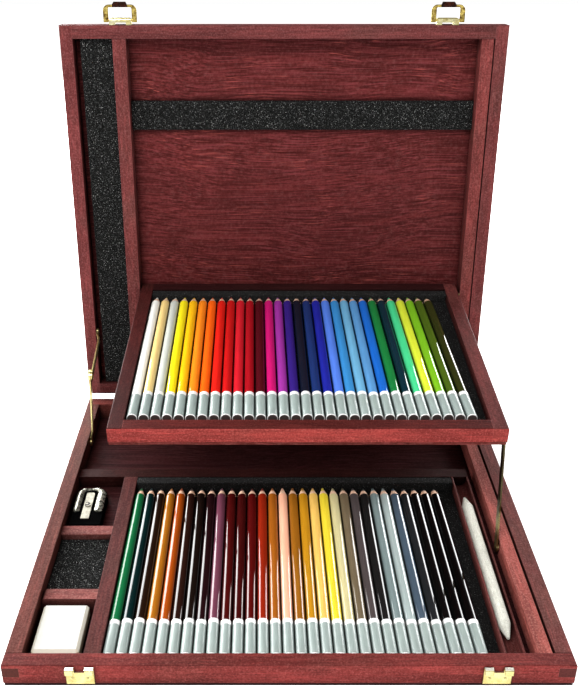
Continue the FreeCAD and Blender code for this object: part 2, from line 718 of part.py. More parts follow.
def keeper(centre_x):
    """Sheet keeper on the base's front rail, its top rolled into two hooks."""
    left, right = centre_x - keeper_width / 2, centre_x + keeper_width / 2
    face, curl, sheet = -half_depth, keeper_curl_radius, keeper_plate
    roll_y, roll_z = face - curl, keeper_high - curl
    plate = box(left, right, face - sheet, face, keeper_low, roll_z)
    roll = rod_x(left, right, roll_y, roll_z, curl).cut(
        rod_x(left - 1, right + 1, roll_y, roll_z, curl - sheet))
    roll = roll.cut(box(left - 1, right + 1, roll_y - curl - 1, roll_y + curl + 1,
                        roll_z - curl - 1, roll_z))
    lip = box(left, right, roll_y - curl, roll_y - curl + sheet, keeper_lip_low, roll_z)
    notch = box(left + keeper_tab_width, right - keeper_tab_width,
                roll_y - curl - 1, face + 1, keeper_lip_low, keeper_high + 1)
    return plate.fuse([roll, lip]).cut(notch).removeSplitter()


def build_clasps():
    base_screws = []
    for side, name in ((-1, "left"), (1, "right")):
        x = side * (half_width - clasp_from_side)
        parts["latch_housing_" + name] = on_lid(latch_housing(x))
        parts["latch_bail_" + name] = on_lid(latch_bail(x))
        parts["latch_thumb_" + name] = on_lid(latch_thumb(x))
        parts["keeper_" + name] = keeper(x)
        for offset in (-0.27, 0.27):
            head = (x + offset * keeper_width, -half_depth - keeper_plate,
                    keeper_screw_height)
            base_screws.append(drive(["keeper_" + name, "base_front_rail"], head, (0, 1, 0)))
    parts["keeper_screws"] = group(base_screws)


# ---------------------------------------------------------------- pencils
def pencil(x, tip_x, front, z):
    """Round pencil with its flat end at the front, its point at tip_x at the back."""
    shoulder = pencil_length - pencil_cone
    outline = [V(0, 0, 0), V(pencil_radius, 0, 0), V(pencil_radius, shoulder, 0),
               V(lead_tip_radius, pencil_length, 0), V(0, pencil_length, 0), V(0, 0, 0)]
    solid = Part.Face(Part.makePolygon(outline)).revolve(V(0, 0, 0), V(0, 1, 0), 360)
    solid.rotate(V(0, 0, 0), V(0, 0, 1), math.degrees(math.asin((x - tip_x) / pencil_length)))
    solid.translate(V(x, front, z))
    return solid


def pencil_row(left, right, start, pitch, front, z):
    """As many pencils as lie side by side between two walls, less the finger room."""
    count = int((right - left - start - finger_room) / pitch)
    first = left + start + pencil_radius
    return [pencil(first + i * pitch, first + i * point_pitch, front, z) for i in range(count)]


def build_pencils():
    parts["pencils_lower"] = group(pencil_row(
        bay_left, stump_rail_left, lower_pencil_start, lower_pencil_pitch,
        -inner_y + lower_pencil_front,
        floor_z + lower_foam + pencil_radius))
    row = pencil_row(
        tray_left + tray_rail, tray_right - tray_rail, upper_pencil_start, upper_pencil_pitch,
        tray_rail + upper_pencil_front, tray_panel + tray_foam + pencil_radius)
    parts["pencils_upper"] = group([on_tray(p) for p in row])


# ---------------------------------------------------------------- other contents
def build_contents():
    left = -inner_x + (accessory_width - eraser_width) / 2
    front = -inner_y + (eraser_bay_length - eraser_length) / 2
    block = box(left, left + eraser_width, front, front + eraser_length,
                floor_z, floor_z + eraser_height)
    parts["eraser"] = block.makeChamfer(eraser_bevel, block.Edges)
    build_sharpener()
    front = -inner_y + stump_front
    outline = [V(0, 0, 0), V(stump_tip_radius, 0, 0), V(stump_radius, stump_point, 0),
               V(stump_radius, stump_length - stump_point, 0),
               V(stump_tip_radius, stump_length, 0), V(0, stump_length, 0), V(0, 0, 0)]
    stump = Part.Face(Part.makePolygon(outline)).revolve(V(0, 0, 0), V(0, 1, 0), 360)
    stump.translate(V(groove_axis_x, front, stump_axis_z()))
    parts["blending_stump"] = stump


def build_sharpener():
    """Block sharpener: dark block, bright two-lobed shell, blade with its screw."""
    left = -inner_x + sharpener_from_rail
    right = left + sharpener_width
    front = sharpener_bay_front + sharpener_from_wall
    back = front + sharpener_length
    top = floor_z + sharpener_height
    body = box(left, right, front, back, floor_z, top)
    radius = sharpener_width * 0.3
    body = rounded_corners(body, radius, back)
    shell = rounded_corners(box(left, right, front + shell_cut, back, top, top + shell_height),
                            radius, back)
    slot_back = back - shell_arc
    slot = box(left + shell_left, right - shell_right, front, slot_back,
               top, top + shell_height)
    shell = shell.cut(rounded_corners(slot, radius - shell_arc, slot_back))
    parts["sharpener_shell"] = rounded_corners(shell, shell_round, front + shell_cut)
    middle = (left + shell_left + right - shell_right) / 2
    blade_back = back - blade_from_back
    blade = box(middle - blade_width / 2, middle + blade_width / 2,
                blade_back - blade_length, blade_back, top, top + blade_thickness)
    blade = rounded_corners(blade, blade_width * 0.3, blade_back)
    head = Part.makeCylinder(blade_screw_radius, blade_screw_height,
                             V(middle, blade_back - blade_length / 2, top + blade_thickness))
    parts["sharpener_body"] = body
    parts["sharpener_blade"] = blade.fuse(head).removeSplitter()


def rounded_corners(shape, radius, back):
    edges = [e for e in shape.Edges
             if near(e.Vertexes[0].Point.y, back) and near(e.Vertexes[-1].Point.y, back)
             and near(e.Vertexes[0].Point.x, e.Vertexes[-1].Point.x)]
    return shape.makeFillet(radius, edges)


def main():
    build_base_frame()
    build_base_inside()
    build_lid_frame()
    build_lid_inside()
    build_hinges()
    build_tray()
    build_tray_pins()
    build_tray_arm()
    build_stay()
    build_clasps()
    build_pencils()
    build_contents()
    os.makedirs("parts", exist_ok=True)
    parts["base_pivot_screws"] = group(parts["base_pivot_screws"])
    for name, shape in parts.items():
        shape.exportStep("parts/" + name + ".step")
        print(name, len(shape.Solids), round(shape.Volume, 2), shape.isValid())


main()
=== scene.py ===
"""Looks of the wooden pencil case: materials for the CAD nodes, and finer pieces in place of
the foam sheets, the two rows of pencils and the sharpener's shell. Pieces are built in
millimetres in the frames ON_BASE, ON_LID and ON_TRAY; everything else is in metres."""
import json
import math
import random

import bmesh
import bpy
from mathutils import Matrix, Vector, noise


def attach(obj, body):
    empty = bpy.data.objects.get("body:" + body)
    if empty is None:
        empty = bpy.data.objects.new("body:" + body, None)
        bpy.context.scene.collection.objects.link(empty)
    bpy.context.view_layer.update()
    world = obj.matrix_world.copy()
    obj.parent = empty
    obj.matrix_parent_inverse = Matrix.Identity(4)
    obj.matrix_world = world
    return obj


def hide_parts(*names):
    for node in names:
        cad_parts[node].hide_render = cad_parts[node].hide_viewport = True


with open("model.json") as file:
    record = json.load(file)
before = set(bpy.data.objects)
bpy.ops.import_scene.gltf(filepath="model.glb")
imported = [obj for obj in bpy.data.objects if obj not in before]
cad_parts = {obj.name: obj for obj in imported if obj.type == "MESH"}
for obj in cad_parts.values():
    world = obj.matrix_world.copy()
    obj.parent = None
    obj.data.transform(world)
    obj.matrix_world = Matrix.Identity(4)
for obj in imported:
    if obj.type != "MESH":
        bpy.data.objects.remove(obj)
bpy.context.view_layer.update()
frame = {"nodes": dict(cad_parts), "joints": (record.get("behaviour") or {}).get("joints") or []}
nodes = frame["nodes"]
joints = {j["name"]: j for j in frame["joints"]}

MM = 0.001
LEAN = math.radians(4.0)                # the open lid leans back
TILT = math.radians(3.88)               # the tray's front is lower than its back
LID_CORNER = (0.0, 0.0002, 0.0029)      # the lid frame's origin from the hinge's axis
TRAY_CORNER = (0.0, -0.207, -0.0069)    # the tray frame's origin from the tray's pivots
HINGE = Vector(joints["lid_hinge"]["pos_m"])
TRAY_PIVOT = Vector(joints["tray_pivot"]["pos_m"])

# Local frames in millimetres: the lid's is X, depth into the lid, height up it;
# the tray's is X, distance from its front, height above its underside.
BAY_LEFT, BAY_RIGHT = -116.9, 134.5         # the base's pencil bay
TRAY_LEFT, TRAY_RIGHT = -112.1, 141.1       # inside the tray's rails
SCALE = Matrix.Diagonal((MM, MM, MM, 1.0))
ON_BASE = SCALE
ON_LID = (Matrix.Translation(HINGE) @ Matrix.Rotation(-LEAN, 4, "X")
          @ Matrix.Translation(LID_CORNER) @ SCALE)
ON_TRAY = (Matrix.Translation((0.0, TRAY_PIVOT.y, TRAY_PIVOT.z)) @ Matrix.Rotation(TILT, 4, "X")
           @ Matrix.Translation(TRAY_CORNER) @ SCALE)


# ------------------------------------------------------------------ camera and light
CAMERA_PLACE = (-0.01365, -0.5665, 0.4457)      # these four are fitted to the photograph
CAMERA_PITCH = math.radians(62.418)
FOCAL_LENGTH = 47.51
SIDE_SHIFT = 0.0329
LIGHTING = 0.24         # the world's strength as a source of light
MIRRORED = 0.22         # how far it rises from there towards 1 for glossy rays


def build_camera():
    data = bpy.data.cameras.new("camera")
    data.lens = FOCAL_LENGTH
    data.sensor_width = 36.0
    data.sensor_fit = "AUTO"
    data.shift_x = SIDE_SHIFT
    data.clip_start = 0.01
    camera = bpy.data.objects.new("camera", data)
    camera.location = CAMERA_PLACE
    camera.rotation_euler = (CAMERA_PITCH, 0.0, 0.0)
    bpy.context.scene.collection.objects.link(camera)
    bpy.context.scene.camera = camera


def area_light(name, location, target, size, power):
    data = bpy.data.lights.new(name, "AREA")
    data.shape = "RECTANGLE"
    data.size, data.size_y = size
    data.energy = power
    light = bpy.data.objects.new(name, data)
    light.location = location
    aim = Vector(target) - Vector(location)
    light.rotation_euler = aim.to_track_quat("-Z", "Y").to_euler()
    light.visible_camera = False
    bpy.context.scene.collection.objects.link(light)


def build_world():
    """White surroundings to look at, but a dim room to mirror and to be lit by."""
    world = bpy.data.worlds.new("studio")
    bpy.context.scene.world = world
    world.use_nodes = True
    tree = world.node_tree
    ray = tree.nodes.new("ShaderNodeLightPath")
    mirrored = tree.nodes.new("ShaderNodeMath")
    mirrored.operation = "MULTIPLY"
    tree.links.new(ray.outputs["Is Glossy Ray"], mirrored.inputs[0])
    mirrored.inputs[1].default_value = MIRRORED
    either = tree.nodes.new("ShaderNodeMath")
    either.operation = "MAXIMUM"
    tree.links.new(ray.outputs["Is Camera Ray"], either.inputs[0])
    tree.links.new(mirrored.outputs[0], either.inputs[1])
    level = tree.nodes.new("ShaderNodeMapRange")
    tree.links.new(either.outputs[0], level.inputs["Value"])
    level.inputs["To Min"].default_value = LIGHTING
    level.inputs["To Max"].default_value = 1.0
    tree.links.new(level.outputs["Result"], tree.nodes["Background"].inputs["Strength"])
    tree.nodes["Background"].inputs["Color"].default_value = (1.0, 1.0, 1.0, 1.0)


def build_studio():
    scene = bpy.context.scene
    scene.view_settings.view_transform = "Standard"
    scene.view_settings.look = "None"
    build_world()
    area_light("key_light", (-0.45, -0.85, 1.35), (0.0, 0.02, 0.1), (0.8, 0.7), 24.0)
    area_light("fill_light", (0.9, -0.7, 0.9), (0.0, 0.0, 0.1), (0.8, 0.6), 3.0)
    area_light("left_light", (-1.10, 1.00, 0.48), (-0.05, 0.0, 0.05), (1.7, 1.0), 95.0)
    area_light("right_light", (1.05, 1.05, 0.35), (0.05, 0.0, 0.05), (0.9, 0.7), 36.0)

    mesh = bpy.data.meshes.new("studio_floor")
    form = bmesh.new()
    bmesh.ops.create_grid(form, x_segments=8, y_segments=8, size=3.0)
    form.to_mesh(mesh)
    form.free()
    floor = bpy.data.objects.new("studio_floor", mesh)
    scene.collection.objects.link(floor)
    g = Graph("studio_floor_paint", Roughness=0.9, Specular_IOR_Level=0.0)
    far = g.node("VectorMath", operation="LENGTH")
    g.link(g.coords(), far.inputs[0])
    g.set("Emission Strength", g.grey(far.outputs["Value"], 0.30, 0.75, 0.55, 1.0))
    g.set("Emission Color", (1.0, 1.0, 1.0))
    tone = g.noise(g.coords(), 3.0, 3.0, 0.5)
    g.set("Base Color", g.mix(tone, (0.95, 0.95, 0.95), (0.98, 0.98, 0.98)))
    mesh.materials.append(g.material)


# ------------------------------------------------------------------ node helpers
class Graph:
    """A material's node tree, built from the surface backwards."""

    def __init__(self, name, **surface):
        self.material = bpy.data.materials.new(name)
        self.material.use_nodes = True
        self.tree = self.material.node_tree
        self.shader = self.tree.nodes["Principled BSDF"]
        for socket, value in surface.items():
            self.set(socket.replace("_", " "), value)

    def node(self, kind, **values):
        made = self.tree.nodes.new("ShaderNode" + kind)
        for key, value in values.items():
            setattr(made, key, value)
        return made

    def link(self, out, into):
        self.tree.links.new(out, into)

    def feed(self, node, socket, value):
        if isinstance(value, bpy.types.NodeSocket):
            self.link(value, node.inputs[socket])
            return
        if isinstance(value, (tuple, list)) and len(value) == 3:
            if len(node.inputs[socket].default_value) == 4:
                value = (*value, 1.0)
        node.inputs[socket].default_value = value

    def set(self, socket, value):
        self.feed(self.shader, socket, value)

    def coords(self, scale=(1, 1, 1), turn=0.0, move=(0, 0, 0), source="Object"):
        """Object coordinates, first turned about X by the part's lean, then scaled."""
        out = self.node("TexCoord").outputs[source]
        if turn:
            lean = self.node("Mapping")
            lean.inputs["Rotation"].default_value = (turn, 0.0, 0.0)
            self.link(out, lean.inputs["Vector"])
            out = lean.outputs["Vector"]
        mapping = self.node("Mapping")
        self.link(out, mapping.inputs["Vector"])
        mapping.inputs["Scale"].default_value = scale
        mapping.inputs["Location"].default_value = move
        return mapping.outputs["Vector"]

    def noise(self, vector, scale, detail=4.0, rough=0.55, distortion=0.0):
        made = self.node("TexNoise")
        self.feed(made, "Vector", vector)
        self.feed(made, "Scale", scale)
        self.feed(made, "Detail", detail)
        self.feed(made, "Roughness", rough)
        self.feed(made, "Distortion", distortion)
        return made.outputs["Fac"]

    def cells(self, vector, scale):
        made = self.node("TexVoronoi")
        self.feed(made, "Vector", vector)
        self.feed(made, "Scale", scale)
        return made

    def ramp(self, factor, stops):
        made = self.node("ValToRGB")
        while len(made.color_ramp.elements) < len(stops):
            made.color_ramp.elements.new(0.5)
        for element, (place, colour) in zip(made.color_ramp.elements, stops):
            element.position = place
            element.color = (*colour, 1.0)
        self.link(factor, made.inputs["Fac"])
        return made.outputs["Color"]

    def grey(self, factor, low, high, out_low=0.0, out_high=1.0):
        made = self.node("MapRange", clamp=True)
        self.feed(made, "Value", factor)
        self.feed(made, "From Min", low)
        self.feed(made, "From Max", high)
        self.feed(made, "To Min", out_low)
        self.feed(made, "To Max", out_high)
        return made.outputs["Result"]

    def mix(self, factor, a, b, blend="MIX"):
        made = self.node("Mix", data_type="RGBA", blend_type=blend)
        self.feed(made, 0, factor)
        self.feed(made, 6, a)
        self.feed(made, 7, b)
        return made.outputs[2]

    def math(self, operation, a, b=0.0):
        made = self.node("Math", operation=operation)
        self.feed(made, 0, a)
        self.feed(made, 1, b)
        return made.outputs[0]

    def axis(self, vector, which):
        made = self.node("SeparateXYZ")
        self.link(vector, made.inputs[0])
        return made.outputs[which]

    def bump(self, height, strength, distance, onto=None):
        made = self.node("Bump")
        self.feed(made, "Height", height)
        self.feed(made, "Strength", strength)
        self.feed(made, "Distance", distance)
        if onto is not None:
            self.link(onto, made.inputs["Normal"])
        self.link(made.outputs["Normal"], self.shader.inputs["Normal"])


# ------------------------------------------------------------------ materials
def shade(colour, light, red=1.0):
    return (colour[0] * light * red, colour[1] * light, colour[2] * light)


def tint(colour, red, green, blue):
    return (colour[0] * red, colour[1] * green, colour[2] * blue)


def offset(seed):
    """Where in the noise a piece is cut, so that no two pieces show the same figure."""
    return (seed * 3.1, seed * 1.7, seed * 2.3)


def rounded_edges(g, radius):
    """A normal that rounds the edges over, and how well it agrees with the real one."""
    soft = g.node("Bevel", samples=4)
    soft.inputs["Radius"].default_value = radius
    agreed = g.node("VectorMath", operation="DOT_PRODUCT")
    g.link(soft.outputs["Normal"], agreed.inputs[0])
    g.link(g.node("NewGeometry").outputs["Normal"], agreed.inputs[1])
    return soft.outputs["Normal"], agreed.outputs["Value"]


def wood_figure(g, grain, seed, colour, turn):
    """Colour of a long-grained face, with the mottle and pores that it is made of."""
    def stretched(along, across):
        scale = [across] * 3
        scale[grain] = along
        return g.coords(scale, turn, offset(seed))

    cloud = g.noise(stretched(11.0, 75.0), 1.0, 3.0, 0.5, 0.8)
    brown = g.noise(g.coords(move=(0, seed, seed)), 24.0, 2.0, 0.5)
    streaks = g.noise(stretched(40.0, 700.0), 1.0, 4.0, 0.65, 0.5)
    mottle = g.noise(g.coords(move=(seed, 0, 0)), 750.0, 4.0, 0.75)
    pores = g.noise(stretched(140.0, 2600.0), 1.0, 2.0, 0.6)
    made = g.ramp(cloud, [(0.32, shade(colour, 0.66)), (0.52, colour),
                          (0.70, shade(colour, 1.32, 1.05))])
    made = g.mix(g.grey(brown, 0.50, 0.68, 0.0, 0.45), made,
                 tint(colour, 0.66, 1.20, 1.05))
    made = g.mix(g.grey(streaks, 0.34, 0.56, 0.60, 0.0), made, shade(colour, 0.42))
    made = g.mix(g.grey(streaks, 0.56, 0.74, 0.0, 0.55), made, shade(colour, 1.75, 1.1))
    made = g.mix(g.grey(mottle, 0.51, 0.70, 0.0, 0.62), made,
                 tint(colour, 1.65, 2.9, 2.9))
    made = g.mix(g.grey(mottle, 0.30, 0.49, 0.75, 0.0), made, shade(colour, 0.34))
    made = g.mix(g.grey(pores, 0.34, 0.44, 0.40, 0.0), made, shade(colour, 0.25))
    return made, mottle, pores


def painted_shade_in_corners(g, colour, reach, least):
    """Painted shade: darker where faces meet and light fails."""
    near = g.node("AmbientOcclusion", samples=6)
    near.inputs["Distance"].default_value = reach
    return g.mix(g.grey(near.outputs["AO"], 0.20, 0.85, least, 1.0), (0.0, 0.0, 0.0), colour)


def stained_wood(name, grain, seed, colour, turn=0.0, top=1.0, ends=None, reach=0.014):
    """Red-brown stained hardwood with its grain along one axis, turned with the part.
    Its upper faces are painted darker by top, as painted shade; ends names the rail whose figure
    runs on over them."""
    g = Graph(name, Roughness=0.5, Specular_IOR_Level=0.03)
    made, mottle, pores = wood_figure(g, grain, seed, colour, turn)
    normal = g.coords(turn=turn, source="Normal")
    # Painted shade: upper faces darkened by top, as they get less light than the faces towards the
    # front.
    if top != 1.0:
        up = g.grey(g.axis(normal, 2), 0.5, 0.8)
        made = g.mix(up, made, g.mix(1.0, made, (top, top * 1.12, top * 1.12), "MULTIPLY"))
    if ends:
        cut = g.grey(g.axis(normal, grain), -0.75, -0.92)
        made = g.mix(cut, made, wood_figure(g, 0, *ends, turn)[0])
    else:
        cut = g.grey(g.math("ABSOLUTE", g.axis(normal, grain)), 0.75, 0.92)
        made = g.mix(cut, made, g.mix(g.grey(mottle, 0.35, 0.65), shade(colour, 0.50),
                                      shade(colour, 0.75)))
    soft, agreed = rounded_edges(g, 0.0007)
    # Paler edges: rubbed-through stain, and partly a painted highlight where the rounded edges
    # catch the light.
    wear_and_highlight = g.grey(agreed, 0.80, 0.97, 0.55, 0.0)
    made = g.mix(wear_and_highlight, made, tint(colour, 1.6, 2.2, 2.2))
    # Painted shade in corners and recesses, where faces meet.
    g.set("Base Color", painted_shade_in_corners(g, made, reach, 0.12))
    g.set("Roughness", g.grey(mottle, 0.3, 0.7, 0.42, 0.62))
    g.bump(g.math("ADD", g.grey(pores, 0.35, 0.6), mottle), 0.30, 0.00015, soft)
    return g.material


def stained_ply(name, seed, colour, turn=0.0, bright=1.0):
    """Thin stained plywood: wavy figure, and short flakes across the panel painted bright as
    glints of light.
    """
    g = Graph(name, Roughness=0.5, Specular_IOR_Level=0.03)
    move = offset(seed)
    bend = g.noise(g.coords((5.0, 9.0, 9.0), turn, move), 1.0, 2.0, 0.5)
    where = g.node("VectorMath", operation="ADD")
    g.link(g.coords((1, 1, 1), turn, move), where.inputs[0])
    sway = g.node("CombineXYZ")
    drift = g.math("MULTIPLY", bend, 0.035)
    g.link(drift, sway.inputs["Y"])
    g.link(drift, sway.inputs["Z"])
    g.link(sway.outputs[0], where.inputs[1])

    def stretched(along, across):
        scaled = g.node("VectorMath", operation="MULTIPLY")
        g.link(where.outputs[0], scaled.inputs[0])
        scaled.inputs[1].default_value = (along, across, across)
        return scaled.outputs[0]

    figure = g.noise(stretched(6.0, 95.0), 1.0, 3.0, 0.5, 0.5)
    lines = g.noise(stretched(17.0, 950.0), 1.0, 3.0, 0.7)
    flakes = g.noise(stretched(36.0, 1100.0), 1.0, 2.0, 0.5)
    patch = g.noise(g.coords((16.0, 30.0, 30.0), turn, (seed, 3.0, 1.0)), 1.0, 2.0, 0.5)
    mottle = g.noise(g.coords(move=(seed, 0, 0)), 420.0, 5.0, 0.7)
    made = g.ramp(figure, [(0.30, shade(colour, 0.74)), (0.50, colour),
                           (0.72, shade(colour, 1.28, 1.06))])
    made = g.mix(g.grey(mottle, 0.50, 0.68, 0.0, 0.65), made,
                 tint(colour, 1.6, 3.0, 3.0))
    made = g.mix(g.grey(mottle, 0.30, 0.49, 0.65, 0.0), made, shade(colour, 0.36))
    made = g.mix(g.grey(lines, 0.34, 0.52, 0.85, 0.0), made, shade(colour, 0.34))
    made = g.mix(g.grey(lines, 0.53, 0.70, 0.0, 0.80), made,
                 tint(colour, 2.1, 2.4, 2.8))
    # Painted glints: short flakes lit up in patches.
    painted_glints = g.math("MULTIPLY", g.grey(flakes, 0.60, 0.72), g.grey(patch, 0.44, 0.62))
    made = g.mix(g.math("MULTIPLY", painted_glints, 0.75 * bright), made,
                 tint(colour, 4.2, 5.2, 4.6))
    # Painted shade where faces meet.
    g.set("Base Color", painted_shade_in_corners(g, made, 0.006, 0.15))
    g.set("Roughness", g.grey(mottle, 0.3, 0.7, 0.42, 0.60))
    g.bump(g.math("ADD", lines, mottle), 0.25, 0.00010)
    return g.material


FOAM_SPECKS = (     # cells per metre, share of the cells left black, brightness
    (1900.0, 0.30, 0.050), (1600.0, 0.78, 0.20), (1400.0, 0.91, 0.50))


def speckled_foam(name, seed, light=1.0, specks=1.0):
    """Black foam sheet, open-pored, with fine bright specks pressed into it."""
    g = Graph(name, Roughness=0.95, Specular_IOR_Level=0.05)
    where = g.coords(move=(seed, seed * 0.3, 0))
    pores = g.noise(where, 1100.0, 3.0, 0.7)
    colour = g.mix(g.grey(pores, 0.36, 0.64), shade((0.002, 0.002, 0.002), light),
                   shade((0.012, 0.0118, 0.0115), light))
    for scale, least, value in FOAM_SPECKS:
        cells = g.cells(where, scale)
        chance = g.axis(cells.outputs["Color"], 0)
        dot = g.grey(cells.outputs["Distance"], 0.20, 0.36, 1.0, 0.0)
        chosen = g.grey(chance, least, min(0.999, least + 0.05), 0.0, specks)
        colour = g.mix(g.math("MULTIPLY", dot, chosen), colour, (value, value, value * 0.97))
    g.set("Base Color", colour)
    g.bump(pores, 0.5, 0.0003)
    return g.material


def brass(name, seed, light=1.0, rim=0.0, spots=140.0, deep=(0.64, 0.53, 0.20),
          pale=(0.90, 0.82, 0.38), top=None, shaded_above=None):
    """Thin pale brass plate, rubbed satin, with small scratches. Its edges are darker by
    rim, its upper faces are painted the colour top as a painted highlight, and it is painted dark,
    as painted shade, above the height given by its last argument."""
    g = Graph(name, Metallic=1.0, Roughness=0.3)
    tone = g.noise(g.coords(move=(seed, 0, 0)), spots, 4.0, 0.6)
    rub = g.noise(g.coords((220.0, 2600.0, 900.0), move=(seed, seed, 0)), 1.0, 3.0, 0.7)
    made = g.mix(g.grey(tone, 0.35, 0.65), shade(deep, light), shade(pale, light))
    if rim:
        agreed = rounded_edges(g, 0.0009)[1]
        made = g.mix(g.grey(agreed, 0.80, 0.985, rim, 0.0), made, (0.045, 0.026, 0.006))
    # Painted shade over the upper part.
    if shaded_above:
        height = g.axis(g.coords(), 2)
        made = g.mix(g.grey(height, shaded_above, shaded_above + 0.012, 0.0, 0.90), made,
                     (0.022, 0.015, 0.008))
    # Painted highlight: upper faces take the colour top.
    if top:
        made = g.mix(g.grey(g.axis(g.coords(source="Normal"), 2), 0.5, 0.9), made, top)
    g.set("Base Color", made)
    g.set("Roughness", g.grey(rub, 0.3, 0.7, 0.22, 0.42))
    g.bump(rub, 0.12, 0.00006)
    return g.material


def bronze(name):
    g = Graph(name, Roughness=0.38, Specular_IOR_Level=0.06)
    tone = g.noise(g.coords(), 420.0, 4.0, 0.65)
    g.set("Base Color", g.mix(g.grey(tone, 0.4, 0.7), (0.006, 0.003, 0.002),
                              (0.050, 0.010, 0.004)))
    g.set("Roughness", g.grey(tone, 0.3, 0.7, 0.30, 0.48))
    g.bump(tone, 0.15, 0.0001)
    return g.material


def dark_plastic(name):
    g = Graph(name, Roughness=0.3, Specular_IOR_Level=0.0)
    grain = g.noise(g.coords(), 1800.0, 2.0, 0.6)
    tone = g.noise(g.coords(), 90.0, 3.0, 0.6)
    g.set("Base Color", g.mix(tone, (0.0008, 0.0008, 0.0009), (0.003, 0.003, 0.0032)))
    g.set("Roughness", g.grey(grain, 0.3, 0.7, 0.24, 0.38))
    g.bump(grain, 0.2, 0.00006)
    return g.material


def bright_metal(name, colour, low, high, dark=0.06, metal=1.0):
    """Graph of metal ground along Y, its roughness from low to high, its stains darker by dark."""
    g = Graph(name, Metallic=metal, Roughness=low, Specular_IOR_Level=0.2)
    lines = g.noise(g.coords((2400.0, 90.0, 2400.0)), 1.0, 3.0, 0.7)
    tone = g.noise(g.coords(), 420.0, 4.0, 0.7)
    made = g.mix(g.grey(tone, 0.40, 0.54), shade(colour, dark), colour)
    # Painted shade in the corners.
    g.set("Base Color", painted_shade_in_corners(g, made, 0.0018, 0.03))
    g.set("Roughness", g.grey(lines, 0.3, 0.7, low, high))
    g.bump(g.math("ADD", lines, tone), 0.25, 0.00008)
    return g


def blade_steel():
    """Ground steel, with painted shade for the hollow round the screw that curls off towards its
    edge.
    """
    screw_x, screw_y, hollow = -152.0, 9.6, 1.9     # millimetres
    g = bright_metal("blade_ground", (0.46, 0.44, 0.35), 0.35, 0.5, dark=0.7, metal=0.15)
    here = g.coords((1000, 1000, 1000))
    x = g.math("ADD", g.axis(here, 0), -screw_x)
    y = g.math("ADD", g.axis(here, 1), -screw_y)
    far = g.math("SQRT", g.math("ADD", g.math("MULTIPLY", x, x), g.math("MULTIPLY", y, y)))
    off = g.math("ABSOLUTE", g.math("SUBTRACT", far, hollow))
    # Painted shade: a dark curl round the screw.
    hook_shade = g.math("MULTIPLY", g.grey(off, 0.70, 0.95, 1.0, 0.0), g.grey(x, -1.4, -1.0))
    under = g.shader.inputs["Base Color"].links[0].from_socket
    g.set("Base Color", g.mix(hook_shade, under, (0.01, 0.01, 0.01)))
    return g.material


def eraser_rubber():
    g = Graph("eraser_white", Roughness=0.6)
    smudge = g.noise(g.coords(), 60.0, 5.0, 0.65)
    dust = g.noise(g.coords(), 900.0, 3.0, 0.7)
    up = g.grey(g.axis(g.coords(source="Normal"), 2), 0.4, 0.9)
    # Painted light: the upward faces are given a greyer white and the sides a lighter, creamier
    # one, evening out the stronger light from above.
    colour = g.mix(up, (0.78, 0.71, 0.50), (0.53, 0.525, 0.49))
    colour = g.mix(g.grey(smudge, 0.52, 0.75, 0.0, 0.12), colour, (0.30, 0.28, 0.24))
    g.set("Base Color", g.mix(g.grey(dust, 0.62, 0.75, 0.0, 0.4), colour, (0.42, 0.40, 0.38)))
    g.set("Roughness", g.grey(dust, 0.3, 0.7, 0.5, 0.7))
    g.bump(dust, 0.2, 0.0001)
    return g.material


def stump_paper():
    """Pale grey paper, tightly rolled and sanded smooth."""
    g = Graph("stump_rolled_paper", Roughness=0.9, Specular_IOR_Level=0.1)
    fibre = g.noise(g.coords((900.0, 200.0, 900.0)), 1.0, 4.0, 0.7)
    specks = g.noise(g.coords(), 1400.0, 3.0, 0.7)
    colour = g.mix(g.grey(fibre, 0.35, 0.65), (0.58, 0.58, 0.50), (0.76, 0.76, 0.68))
    colour = g.mix(g.grey(specks, 0.54, 0.66, 0.0, 0.60), colour, (0.26, 0.25, 0.22))
    g.set("Base Color", colour)
    g.set("Roughness", g.grey(fibre, 0.3, 0.7, 0.85, 0.98))
    g.bump(g.math("ADD", fibre, specks), 0.25, 0.00010)
    return g.material


def dress(material, *names):
    for name in names:
        slots = nodes[name].data.materials
        for i in range(len(slots)):
            slots[i] = material


